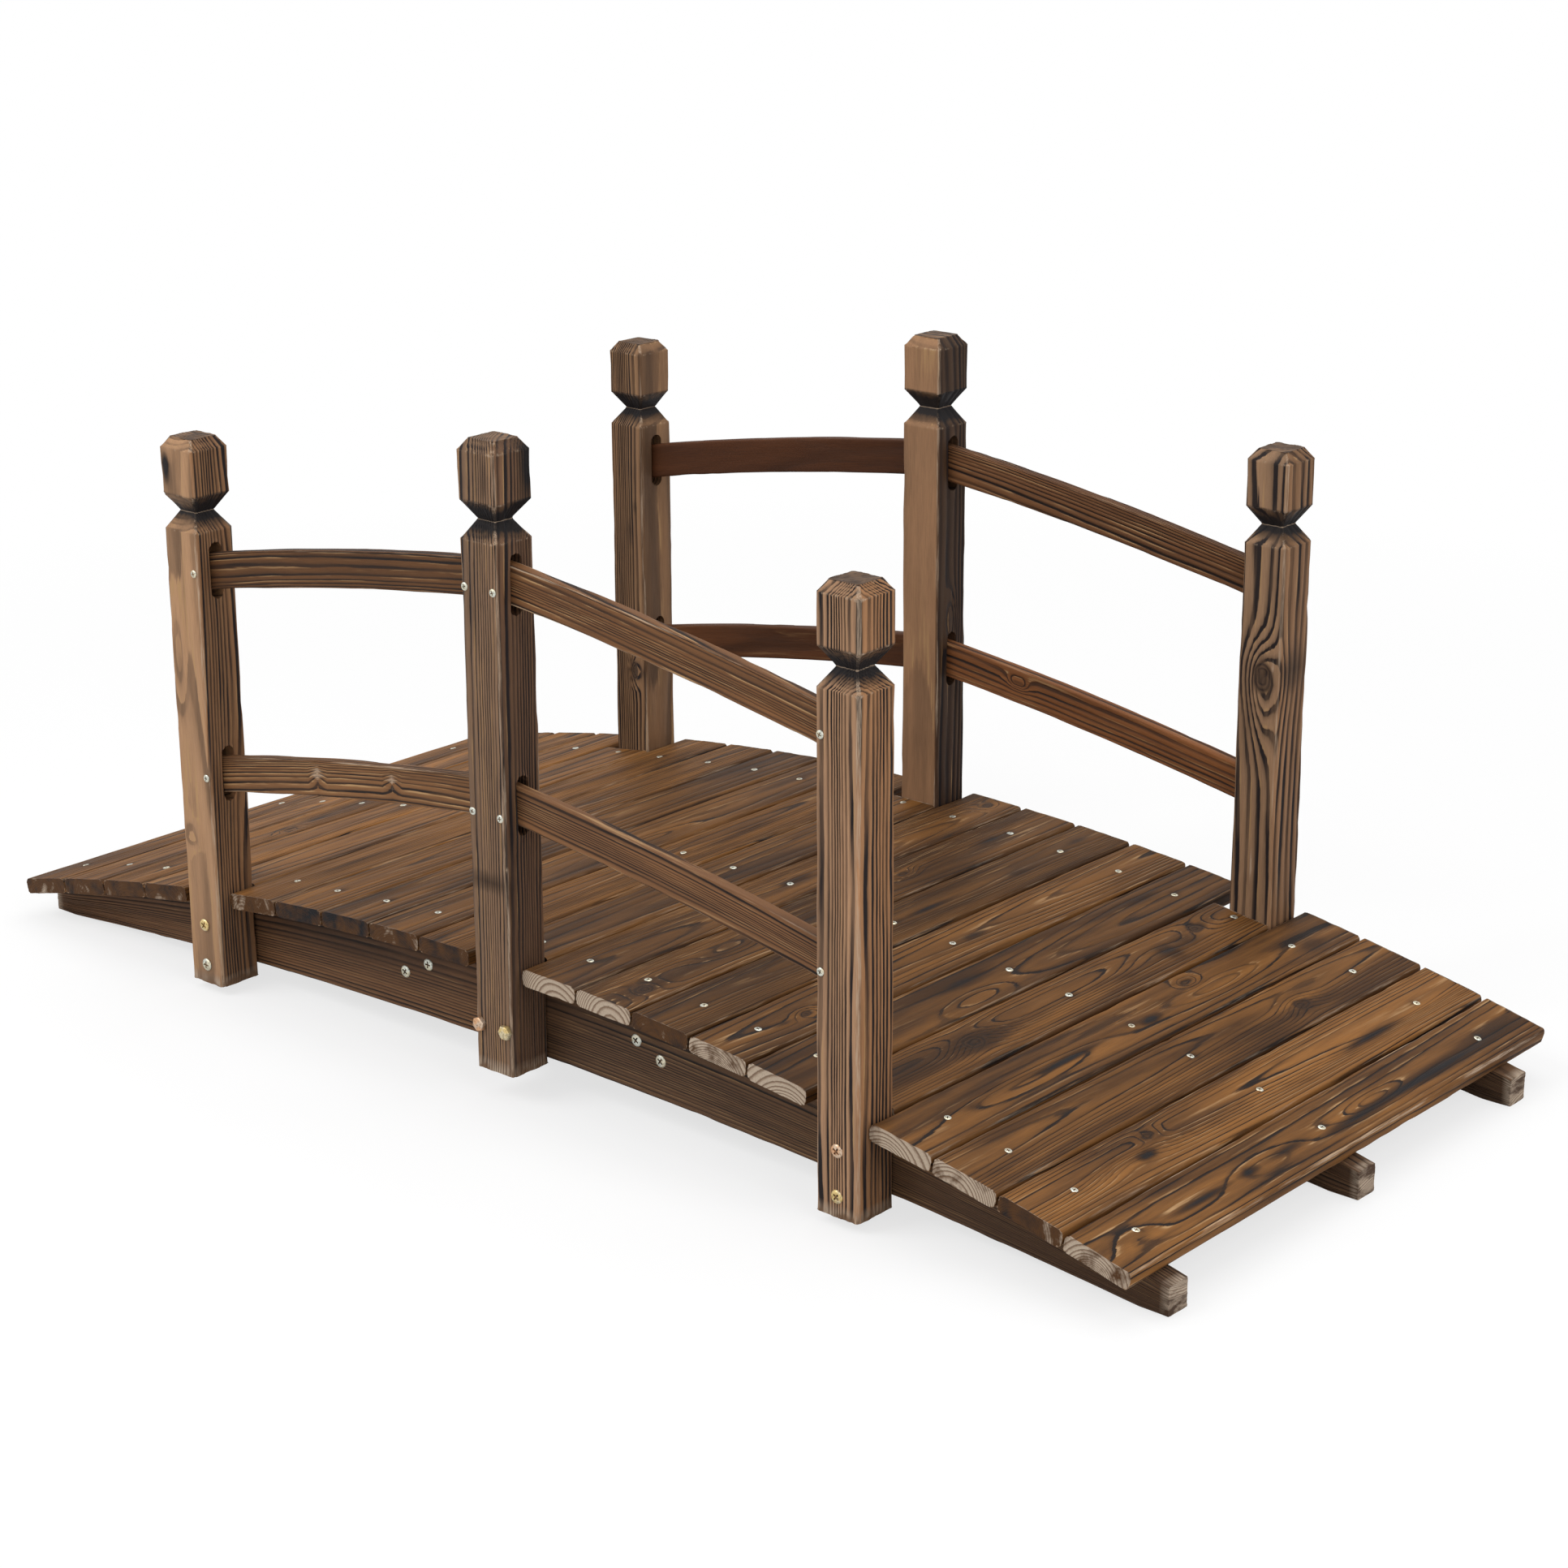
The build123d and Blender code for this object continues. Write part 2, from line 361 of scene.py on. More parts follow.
def metal(name, colour, second, most, roughness):
    """Plated steel whose tone shifts to a second one, by at most the share given, and dull in places."""
    material, tree, shader = new_material(name)
    place = add_node(tree, "TexCoord").outputs["Object"]
    stain = noise(tree, place, (420, 420, 420), 4.0, 0.6)
    shift = noise(tree, place, (130, 130, 130), 1.0, 0.5, (4, 6, 2))
    tone = mixed(tree, ramp(tree, shift, (0.45, 0.0), (0.60, most)), tuple(colour), tuple(second))
    dull = (*(0.35 * level for level in colour[:3]), 1)
    tone = mixed(tree, ramp(tree, stain, (0.50, 0.0), (0.72, 1.0)), tone, dull)
    tree.links.new(tone, shader.inputs["Base Color"])
    tree.links.new(maths(tree, "MULTIPLY_ADD", stain, 0.35, roughness), shader.inputs["Roughness"])
    shader.inputs["Metallic"].default_value = 0.9
    return material


# Boards

wear_reach = 0.0013         # width of the worn band beside a long edge
end_wear_reach = 0.002      # beside an end or a ledge
crease_reach = 0.0009       # beside a crease
late_wood = 0.93            # where the dark line lies in a ring
end_relief = 0.0006         # deepest relief on an end
knot_pit = 0.0005           # how deep a knot is brushed out


def cut_blank(size, steps, stations):
    """Straight box along X whose faces are cut into a grid, with exact rows at the stations."""
    blank = bmesh.new()
    bmesh.ops.create_cube(blank, size=1.0)
    bmesh.ops.scale(blank, vec=size, verts=blank.verts)
    for axis in (1, 2):
        across = [e for e in blank.edges if abs((e.verts[0].co - e.verts[1].co)[axis]) > size[axis] / 2]
        cuts = max(1, round(size[axis] / steps[axis]) - 1)
        bmesh.ops.subdivide_edges(blank, edges=across, cuts=cuts, use_grid_fill=True)
    rows = sorted([-size[0] / 2, *stations, size[0] / 2])
    for place in rows[1:-1]:
        everything = blank.verts[:] + blank.edges[:] + blank.faces[:]
        bmesh.ops.bisect_plane(
            blank, geom=everything, plane_co=(place, 0, 0), plane_no=(1, 0, 0), dist=1e-6)
    for low, high in zip(rows, rows[1:]):
        cuts = round((high - low) / steps[0]) - 1
        if cuts > 0:
            reach = (high - low) / 2
            along = [e for e in blank.edges
                     if abs(e.verts[0].co.x - e.verts[1].co.x) > reach
                     and abs((e.verts[0].co.x + e.verts[1].co.x) / 2 - (low + high) / 2) < reach / 2]
            bmesh.ops.subdivide_edges(blank, edges=along, cuts=cuts, use_grid_fill=True)
    return blank


def as_mesh(made, name):
    """Turn a bmesh into a mesh and free it."""
    mesh = bpy.data.meshes.new(name)
    made.to_mesh(mesh)
    made.free()
    return mesh


def carved(mesh, tool):
    """The mesh with the tool's shape cut out of it."""
    whole = bpy.data.objects.new("blank", mesh)
    cutter = bpy.data.objects.new("tool", tool)
    for item in (whole, cutter):
        bpy.context.scene.collection.objects.link(item)
    cut = whole.modifiers.new("cut", "BOOLEAN")
    cut.operation = "DIFFERENCE"
    cut.object = cutter
    cut.solver = "EXACT"
    made = bpy.data.meshes.new_from_object(whole.evaluated_get(bpy.context.evaluated_depsgraph_get()))
    for item in (whole, cutter):
        bpy.data.objects.remove(item)
    return made


def vectors(items, what):
    """One vector of each item, as rows of an array."""
    flat = np.empty(len(items) * 3)
    items.foreach_get(what, flat)
    return flat.reshape(-1, 3)


def points_of(mesh):
    """The mesh's vertex places as an array."""
    return vectors(mesh.vertices, "co")


def set_points(mesh, points):
    """Move the mesh's vertices."""
    mesh.vertices.foreach_set("co", points.ravel())
    mesh.update()


def drift(random, points, reach, waves=9):
    """Smooth random values about 0 with a spread of 1, over wavelengths of about the reach."""
    total = np.zeros(len(points))
    for _ in range(waves):
        direction = random.normal(size=3) / np.array(reach)
        total += np.sin(points @ direction * 2 * pi * 0.6 + random.uniform(0, 2 * pi))
    return total / sqrt(waves / 2)


def smooth_step(low, high, values):
    """0 below low, 1 above high, and smooth between."""
    share = np.clip((values - low) / (high - low), 0, 1)
    return share * share * (3 - 2 * share)


def beside(reach, distance):
    """1 at no distance, falling smoothly to 0 at the reach."""
    return 1 - smooth_step(0.0, reach, distance)


def near(points, place, size):
    """1 at a place, falling smoothly to 0 past its size."""
    return np.exp(-(((points - np.array(place)) / np.array(size)) ** 2).sum(1))


def gap_at_corner(ease, sharpness=2.0):
    """How far the middle of an eased edge lies inside the corner, summed over both directions."""
    return 2 * ease * (1 - 0.5 ** (1 / sharpness))


def round_section(points, half_b, half_c, ease, sharpness=2.0):
    """Ease the long edges of a box section. Sharpness 2 is round and 1 is a flat chamfer."""
    section = points[:, 1:]
    inner = np.stack([np.broadcast_to(half - ease, len(points)) for half in (half_b, half_c)], 1)
    core = np.clip(section, -inner, inner)
    out = section - core
    size = (np.abs(out) ** sharpness).sum(1) ** (1 / sharpness)
    scale = np.where(size > ease, ease / np.maximum(size, 1e-9), 1.0)
    moved = points.copy()
    moved[:, 1:] = core + out * scale[:, None]
    return moved


@dataclass
class Board:
    """How one board was sawn, burnt and worn. Places are along the grain, then across the section."""

    seed: int
    pith: tuple = (0.0, -0.03)      # where the tree's heart runs, in the section
    tilt: tuple = (0.0, 0.02)       # how it leans away along the board
    spacing: float = 0.003          # between growth rings
    uneven: float = 0.010           # distance over which the rings change from wide to narrow
    wander: float = 0.5             # how far the rings sway along the board, in rings
    eyes: tuple = ()                # loops in the figure: place, size, how many rings they lift
    knots: tuple = ()               # place and radius
    tint: tuple = (1.0, 1.0, 1.0)   # or one number for all three
    faces: tuple = ()               # a face's direction, its tint and extra burn (partly the wood's own, partly painted light and shade for the way the face looks) and share of the lines
    burn: float = 0.0
    patchy: float = 0.16            # how much the burn varies along the board
    burns: tuple = ()               # burnt places, and on planks the painted shade round each screw head: place, size, amount
    bands: tuple = ()               # burnt right round: low, high, how fast it fades, amount
    lines: float = 1.0              # how strongly the rings show
    rub_and_glint: float = 1.0                # how pale the ridges are: partly rubbed bare, partly painted highlight
    wear: float = 0.6
    corner_wear: float = 0.0        # more wear on the edge that faces the front and the right
    scuffs: tuple = ()              # places knocked to bare wood: place, size, amount
    ledges: tuple = ()              # places along the grain where an edge runs right round
    creases: tuple = ()             # and where a crease does, rubbed to a pale line
    ends_burnt: tuple = (0.3, 0.3)  # at the low and at the high end


def marked_board(seed, middle, usual, marks):
    """A board with its own marks over what is usual. Their places are counted from its middle."""
    looks = {**usual, **marks}
    for kind in ("eyes", "knots", "burns", "scuffs"):
        looks[kind] = [((place[0] - middle, *place[1:]), *rest) for place, *rest in looks.get(kind, ())]
    return Board(seed, **looks)


def scuff_stations(board):
    """Rows that a blank needs along the grain, so that its scuffs aren't missed."""
    return [place[0] + way for place, size, amount in board.scuffs for way in (-0.004, 0, 0.004)]


def ring_field(board, random, origin, points):
    """Growth ring count at each point: distance from the pith, with a smooth drift."""
    along = points[:, 0]
    across = points[:, 1] - board.pith[0] - board.tilt[0] * along
    down = points[:, 2] - board.pith[1] - board.tilt[1] * along
    far = np.hypot(across, down)
    far += 0.6 * board.uneven * np.sin(far / board.uneven + origin[0])
    rings = far / board.spacing
    rings += board.wander * drift(random, points, (0.45, 0.1, 0.1))
    rings += board.wander * 0.08 * drift(random, points, (0.11, 0.03, 0.03))
    for place, size, lift in board.eyes:
        rings += lift * near(points, place, size)
    for place, radius in board.knots:
        rings += 3.0 * near(points, place, (radius * 2.6, radius * 1.6, radius * 1.6))
    return rings


def knot_field(board, points):
    """0 outside a knot, rising to 1 at its heart."""
    knot = np.zeros(len(points))
    for place, radius in board.knots:
        away = (points - np.array(place)) / np.array([radius * 1.3, radius, radius])
        knot = np.maximum(knot, 1 - np.sqrt((away**2).sum(1)))
    return np.clip(knot, 0, 1)


def store(mesh, kind, key, fields):
    """Keep the fields on the mesh's vertices, where its finish reads them."""
    for name, values in fields.items():
        attribute = mesh.attributes.new(name, kind, "POINT")
        attribute.data.foreach_set(key, values.astype(np.float32).ravel())


def finish_board(mesh, board, half_b, half_c, length, corner_gap, groove, chip_depth):
    """Give a blank its brushed relief and worn edges, and store the fields its finish reads.

    The corner gap is how far the middle of an eased edge lies inside the box's own corner.
    """
    random = np.random.default_rng(board.seed)
    origin = random.uniform(-5, 5, 3)
    points = points_of(mesh)
    normals = vectors(mesh.vertex_normals, "vector")
    rings = ring_field(board, random, origin, points)
    knot = knot_field(board, points)
    near_end = length / 2 - np.abs(points[:, 0])
    cap = (np.abs(normals[:, 0]) > 0.7) & (near_end < 0.001)
    edge = (half_b - np.abs(points[:, 1])) + (half_c - np.abs(points[:, 2]))
    closeness = beside(wear_reach, edge - corner_gap)
    chips = smooth_step(0.2, 1.7, drift(random, points, (0.035, 0.02, 0.02)))
    relief = (0.5 + 0.5 * np.cos(2 * pi * (rings - late_wood))) ** 1.5
    depth = groove * relief * (1 - 0.8 * cap)
    depth += chip_depth * closeness * chips
    depth += groove * 0.35 * (1 + drift(random, points, (0.09, 0.02, 0.02))).clip(0, 2)
    depth += knot_pit * smooth_step(0.0, 0.5, knot)
    depth[cap] = np.minimum(depth[cap], end_relief)
    set_points(mesh, points - normals * depth[:, None])

    tint = np.ones(points.shape) * board.tint
    # The burn field also carries painted shade: the extra burn of the post faces and the spots round the
    # deck screws
    burn = board.burn + board.patchy * drift(random, points, (0.30, 0.06, 0.06))
    lines = np.full(len(points), board.lines)
    # A face's tint and extra burn are partly the wood's own tone and partly painted light and shade for the
    # way the face looks
    for direction, face_tint_and_shading, face_burn_and_shading, face_lines in board.faces:
        facing = smooth_step(0.35, 0.8, normals[:, 1:] @ np.array(direction))
        tint *= 1 + facing[:, None] * (np.array(face_tint_and_shading) - 1)
        burn += facing * face_burn_and_shading
        lines *= 1 + facing * (face_lines - 1)
    for place, size, amount in board.burns:
        burn += amount * near(points, place, size)
    for low, high, fade, amount in board.bands:
        inside = smooth_step(low - fade, low, points[:, 0]) - smooth_step(high, high + fade, points[:, 0])
        burn += amount * inside
    for end, amount in zip((-1, 1), board.ends_burnt):
        here = cap & (end * points[:, 0] > 0)
        burn[here] = amount + 0.10 * drift(random, points[here], (1, 0.03, 0.03))
    worn = np.maximum(closeness, beside(end_wear_reach, near_end))
    for ledge in board.ledges:
        worn = np.maximum(worn, 0.8 * beside(end_wear_reach, np.abs(points[:, 0] - ledge)))
    front_corner = smooth_step(0.3, 0.9, points[:, 1] / half_b)
    front_corner = front_corner * smooth_step(0.3, 0.9, -points[:, 2] / half_c)
    worn = (board.wear + board.corner_wear * front_corner) * worn * ~cap
    for place, size, amount in board.scuffs:
        worn = np.maximum(worn, amount * near(points, place, size))
    for crease in board.creases:
        worn = np.maximum(worn, 2 * beside(crease_reach, np.abs(points[:, 0] - crease)))
    store(mesh, "FLOAT", "value", {
        "ring": rings, "burn": burn, "worn": worn, "sawn": cap, "knot": knot,
        "lines": lines, "rub_and_glint": np.full(len(points), board.rub_and_glint)})
    store(mesh, "FLOAT_VECTOR", "vector", {"grain": points + origin, "tint": tint})


def brushed_board(name, board, size, steps, stations, ease, groove, chip_depth):
    """A board cut, eased, brushed and worn, still straight in its own board frame."""
    length, width, depth = size
    mesh = as_mesh(cut_blank(size, steps, [*stations, *scuff_stations(board)]), name)
    set_points(mesh, round_section(points_of(mesh), width / 2, depth / 2, ease))
    finish_board(mesh, board, width / 2, depth / 2, length, gap_at_corner(ease), groove, chip_depth)
    return mesh


def add_piece(mesh, name, materials, replaced=None):
    """Show a finished mesh as a piece of the bridge."""
    for material in materials:
        mesh.materials.append(material)
    mesh.shade_smooth()
    mesh.set_sharp_from_angle(angle=radians(50))
    piece = bpy.data.objects.new(name, mesh)
    bpy.context.scene.collection.objects.link(piece)
    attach(piece, "root")
    if replaced:
        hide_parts(replaced)


def centre_of(node):
    """Middle of a CAD node's box."""
    low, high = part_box(node)
    return (low + high) / 2


def laid_at(place, first, second, third):
    """Matrix that puts a frame at a place, with its axes along three directions."""
    return Matrix.Translation(place) @ Matrix((first, second, third)).transposed().to_4x4()


# Planks

plank_nodes = sorted(n for n in nodes if n.startswith("plank_"))


def spot(y, x, long, wide, amount):
    """Burnt place on a plank's top, by its place along the plank and right of its middle."""
    return ((y, -x, top_face), (long, wide, 0.02), amount)


def loop(y, x, long, wide, lift):
    """Closed loop in a plank's figure."""
    return ((y, -x, top_face), (long, wide, 0.03), lift)


def eye(y, x, radius):
    """Knot in a plank's top."""
    return ((y, -x, top_face - radius * 0.3), radius)


# What is special on each plank, counted from the left end. Places are across the bridge.
plank_marks = {
    1: dict(tint=1.10),
    2: dict(tint=1.16, eyes=[loop(0.10, 0, 0.09, 0.012, 2.0)]),
    3: dict(tint=1.08, knots=[eye(-0.11, 0.012, 0.006)]),
    4: dict(tint=1.14, burn=-0.10),
    5: dict(tint=1.12, burn=-0.08),
    6: dict(tint=0.94, burns=[spot(-0.20, 0, 0.05, 0.008, 0.4)]),
    7: dict(tint=0.86),
    8: dict(tint=0.74, burn=0.20),
    9: dict(tint=0.76, eyes=[loop(0.02, 0.008, 0.08, 0.012, 2.5)]),
    10: dict(tint=0.84),
    11: dict(tint=0.74),
    12: dict(tint=0.76, burns=[spot(0.025, 0, 0.022, 0.005, 0.8)], knots=[eye(0.335, 0.004, 0.007)]),
    13: dict(tint=0.66, rub_and_glint=1.1, knots=[eye(-0.288, 0.010, 0.011), eye(0.115, -0.004, 0.006)],
             burns=[spot(0.255, 0, 0.02, 0.006, 0.7), spot(0.20, 0, 0.20, 0.04, 0.22)],
             eyes=[loop(-0.155, 0, 0.05, 0.012, 3.0)]),
    14: dict(tint=0.50, burns=[spot(0.06, 0, 0.036, 0.004, 0.8), spot(0.20, 0.004, 0.014, 0.006, 0.6),
                              spot(0.32, -0.006, 0.016, 0.006, 0.6)]),
    15: dict(tint=0.74, burn=-0.02, rub_and_glint=0.9, knots=[eye(-0.215, 0.006, 0.006)],
             burns=[spot(0.042, 0, 0.020, 0.006, 0.9), spot(-0.248, 0.006, 0.014, 0.004, 0.8),
                    spot(0.12, 0.018, 0.09, 0.016, -0.4)]),
    16: dict(tint=0.74, burn=0.18, eyes=[loop(-0.065, 0.018, 0.05, 0.012, 2.5)],
             burns=[spot(-0.055, -0.012, 0.036, 0.010, 0.6), spot(0.24, -0.015, 0.024, 0.005, 0.6)]),
    17: dict(tint=0.86, burn=0.04, knots=[eye(0.232, -0.010, 0.010), eye(-0.140, 0.0, 0.014)],
             eyes=[loop(0.15, -0.004, 0.06, 0.014, 2.5), loop(-0.125, 0, 0.04, 0.014, 2.0)],
             burns=[spot(0.20, 0, 0.02, 0.012, 0.45), spot(0.166, 0.004, 0.012, 0.014, 0.7),
                    spot(-0.138, 0, 0.030, 0.015, 0.65), spot(-0.250, 0, 0.060, 0.020, 0.35)]),
    18: dict(tint=0.90, knots=[eye(0.125, -0.018, 0.006)],
             eyes=[loop(0.15, 0.004, 0.07, 0.011, -2.5), loop(-0.15, 0.004, 0.10, 0.011, 2.5)],
             burns=[spot(0.032, 0.006, 0.014, 0.006, 1.3), spot(-0.10, 0.004, 0.040, 0.004, 1.3),
                    spot(0.30, 0.010, 0.020, 0.014, 0.5), spot(-0.235, 0.003, 0.014, 0.005, 0.5)]),
    19: dict(tint=0.84, burn=0.02, knots=[eye(0.183, 0.006, 0.010)],
             burns=[spot(0.25, 0, 0.10, 0.040, 0.36), spot(0.10, 0, 0.05, 0.04, 0.22)]),
    20: dict(tint=1.06, burn=-0.08, rub_and_glint=0.9, knots=[eye(-0.143, -0.014, 0.006)],
             eyes=[loop(-0.19, 0.004, 0.05, 0.012, 3.2), loop(0.25, 0.010, 0.12, 0.010, -2.5)],
             burns=[spot(0.185, 0.010, 0.050, 0.005, 1.3), spot(-0.172, 0.005, 0.012, 0.006, 1.3),
                    spot(0.07, 0, 0.09, 0.03, -0.3)]),
    21: dict(tint=0.96, spacing=0.0022, wear=1.0, rub_and_glint=1.2,
             eyes=[loop(-0.09, 0.004, 0.06, 0.012, 2.2), loop(-0.285, 0.004, 0.036, 0.014, 1.6),
                   loop(0.09, 0.004, 0.05, 0.010, -2.5)],
             burns=[spot(0.17, 0.010, 0.12, 0.007, 1.15), spot(0.04, 0.013, 0.05, 0.005, 0.9),
                    spot(0.31, 0.002, 0.05, 0.010, 0.5), spot(-0.055, 0.004, 0.03, 0.005, 0.9),
                    spot(-0.115, 0.004, 0.012, 0.006, 1.1), spot(-0.19, 0.004, 0.045, 0.004, 1.2)]),
}

# How sooty the front ends of the planks are. The others are about half burnt.
clean_ends = {5: 0.1, 12: -0.1, 13: 0.0, 15: 0.2, 16: -0.1, 17: 0.0, 18: 0.0, 19: 0.15, 21: 0.2}


def plank_board(number, middle_y):
    """How one plank of the deck was sawn and burnt, counted from the left end."""
    random = np.random.default_rng(100 + number)
    usual = dict(
        rub_and_glint=0.55,
        pith=(random.uniform(-0.014, 0.014), -random.uniform(0.012, 0.034)),
        tilt=(random.uniform(-0.012, 0.012), random.uniform(-0.022, 0.022)),
        spacing=random.uniform(0.0028, 0.0040),
        wander=random.uniform(0.2, 0.4),
        burn=random.uniform(0.0, 0.10),
        patchy=0.12,
        lines=1.10 if number > 14 else 0.85,
        ends_burnt=(clean_ends.get(number, random.uniform(0.35, 0.8)), random.uniform(0.2, 0.8)),
    )
    board = marked_board(200 + number, middle_y, usual, plank_marks[number])
    # Painted shade: a dark spot in the wood round each screw head, laid in with the burn marks
    board.burns += [((row - middle_y, 0, top_face), (0.005, 0.005, 0.01), 0.5) for row in screw_rows]
    return board


def plank_frame(node):
    """Where a plank's own board frame lies on the arch."""
    centre = centre_of(node)
    slope = asin(centre.x / (deck_radius - plank_thickness / 2))
    return laid_at(centre, (0, 1, 0), (-cos(slope), 0, sin(slope)), (sin(slope), 0, cos(slope)))


class MakePlanks(bpy.types.Operator):
    """Lay the planks of the deck on the arch"""
    bl_idname = "bridge.make_planks"
    bl_label = "Make deck planks"

    def execute(self, context):
        finish = charred_fir("deck_fir", **fir_looks["deck_fir"])
        steps = (sizes().along_step, sizes().across_step, plank_step_down)
        for number, node in enumerate(plank_nodes, start=1):
            low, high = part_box(node)
            length = high.y - low.y
            middle_y = centre_of(node).y
            stations = [end * (length / 2 - row_by_end) for end in (-1, 1)]
            beside_screw = (-row_by_screw, 0, row_by_screw)
            stations += [row - middle_y + way for row in screw_rows for way in beside_screw]
            mesh = brushed_board(
                node, plank_board(number, middle_y), (length, plank_width, plank_thickness),
                steps, stations, plank_edge_radius, sizes().deck_groove, plank_chips)
            mesh.transform(plank_frame(node))
            add_piece(mesh, f"deck_{node}", [finish], node)
        return {"FINISHED"}


# Posts

post_spacing = centre_of("post_front_right").x
post_widths = (post_side, post_side, neck_side, post_side, post_side, cap_side)


def post_heights(foot, top):
    """Heights of a post's foot, shoulder, neck, both ends of its block and its top."""
    block_top = top - cap_rise
    block = block_top - block_height
    neck = block - block_rise
    return foot, neck - shoulder_rise, neck, block, block_top, top


def rail_top(distance, which):
    """Height of a rail's top edge at a distance from the middle posts' centre line."""
    drop = rail_spacing if which == "lower" else 0
    chord = upper_rail_middle_height - drop - rail_fall * distance / post_spacing
    bulge = rail_radius - sqrt(rail_radius**2 - (post_spacing / 2) ** 2)
    return chord + np.sqrt(rail_radius**2 - (distance - post_spacing / 2) ** 2) - (rail_radius - bulge)


def mortise_tool(place, foot, length):
    """The round-ended slots for the rails of one post, as one solid in the post's own board frame."""
    distance = post_side / 2 if place == "middle" else post_spacing - post_side / 2
    cutter = bmesh.new()
    for bay, which in product(bays[place], ("upper", "lower")):
        height = rail_top(distance, which) - rail_depth / 2 - foot - length / 2
        before = set(cutter.verts)
        bmesh.ops.create_cube(cutter, size=1.0)
        verts = [v for v in cutter.verts if v not in before]
        bmesh.ops.scale(cutter, vec=(mortise_height, 2 * mortise_depth, mortise_width), verts=verts)
        corners = [e for e in cutter.edges if e.verts[0] in verts
                   and abs(e.verts[0].co.y - e.verts[1].co.y) > mortise_depth]
        bmesh.ops.bevel(cutter, geom=corners, offset=mortise_width / 2 - 1e-5, affect="EDGES",
                        segments=8, profile=0.5, material=-1)
        verts = [v for v in cutter.verts if v not in before]
        bmesh.ops.translate(cutter, vec=(height, bay * post_side / 2, 0), verts=verts)
    return as_mesh(cutter, "mortise_tool")


front, right_side, back, left_side = (0, -1), (1, 0), (0, 1), (-1, 0)


def on_front(z, x, long, wide, amount):
    """Burnt place or loop on a post's front face, by its height and its place right of the middle."""
    return ((z, x, -post_side / 2), (long, wide, 0.012), amount)


def on_right(z, y, long, wide, amount):
    """Burnt place or loop on a post's right face, by its height and its place behind the middle."""
    return ((z, post_side / 2, y), (long, 0.012, wide), amount)


# How each post was sawn and burnt. Each face's tint and extra burn are partly painted light and shade,
# mostly lighter on the front faces and darker on the right. Heights are above the floor.
post_marks = {
    "front_left": dict(
        pith=(-0.004, 0.07), spacing=0.0052, wander=0.45, patchy=0.05,
        faces=[(front, (1.34, 1.34, 1.34), -0.26, 0.45), (right_side, (1.02, 0.92, 0.82), 0.0, 1.0)],
        eyes=[on_front(0.36, -0.014, 0.05, 0.010, 1.6), on_front(0.17, -0.010, 0.014, 0.012, 1.5)],
        burns=[on_front(0.557, -0.015, 0.014, 0.007, 2.0), on_front(0.35, -0.014, 0.03, 0.006, 0.55),
               on_front(0.43, 0.001, 0.05, 0.0016, 0.65), on_right(0.05, 0.0, 0.05, 0.03, 0.15)]),
    "front_middle": dict(
        pith=(0.075, 0.05), spacing=0.0032, uneven=0.006, wander=0.25, corner_wear=0.45, wear=0.8,
        patchy=0.06,
        faces=[(front, (0.92, 0.96, 1.05), 0.0, 1.3), (right_side, (0.66, 0.61, 0.62), 0.16, 1.0)],
        scuffs=[((0.240, post_side / 2, -post_side / 2), (0.009, 0.004, 0.004), 2.4),
                ((0.130, post_side / 2, -post_side / 2), (0.012, 0.003, 0.003), 1.9)],
        burns=[on_front(0.224, 0.0, 0.008, 0.03, 0.7), on_front(0.50, -0.01, 0.05, 0.02, 0.25),
               on_right(0.62, 0.018, 0.03, 0.008, 0.8), on_right(0.60, -0.010, 0.04, 0.016, -0.5),
               on_right(0.52, -0.015, 0.03, 0.01, -0.3), on_front(0.61, 0.012, 0.02, 0.005, 0.5)]),
    "front_right": dict(
        pith=(-0.075, 0.055), spacing=0.0029, uneven=0.004, wander=0.2, corner_wear=0.6, wear=0.9,
        patchy=0.05,
        faces=[(front, (1.42, 1.42, 1.47), -0.08, 1.15), (right_side, (1.44, 1.26, 1.07), -0.08, 1.2)],
        burns=[on_right(0.07, 0.0, 0.06, 0.03, 0.35), on_front(0.30, -0.02, 0.10, 0.008, 0.2)]),
    "back_left": dict(
        pith=(-0.09, 0.0), spacing=0.0040, patchy=0.04,
        faces=[(front, (0.98, 0.95, 0.90), 0.02, 1.1), (right_side, (0.92, 0.88, 0.84), 0.0, 0.6)],
        knots=[((0.205, 0.006, -post_side / 2), 0.006)],
        burns=[on_front(0.37, 0.004, 0.012, 0.004, 0.6), on_front(0.40, 0.012, 0.008, 0.003, 0.6)]),
    "back_middle": dict(
        pith=(0.0, 0.09), spacing=0.0075, wander=0.3, patchy=0.04,
        faces=[(front, (1.26, 1.20, 1.15), -0.10, 0.3), (right_side, (0.27, 0.24, 0.25), 0.34, 1.0)],
        eyes=[on_right(0.34, 0.0, 0.03, 0.01, 2.5)],
        burns=[on_right(0.60, 0.0, 0.04, 0.03, 0.1)]),
    "back_right": dict(
        pith=(-0.06, 0.06), spacing=0.0042, wander=0.6, patchy=0.06,
        faces=[(front, (1.10, 1.14, 1.20), -0.02, 1.0), (right_side, (1.02, 0.94, 0.86), 0.02, 1.0)],
        knots=[((0.362, 0.004, -post_side / 2), 0.013)],
        scuffs=[((0.16, 0.0, -post_side / 2), (0.018, 0.0015, 0.003), 1.9),
                ((0.372, 0.016, -post_side / 2), (0.006, 0.002, 0.003), 1.8)],
        eyes=[on_front(0.33, 0.004, 0.05, 0.016, 2.2)],
        burns=[on_right(0.367, 0.0, 0.022, 0.02, 0.75), on_front(0.365, 0.004, 0.016, 0.014, 0.35),
               on_front(0.30, -0.012, 0.06, 0.008, 0.3)]),
}


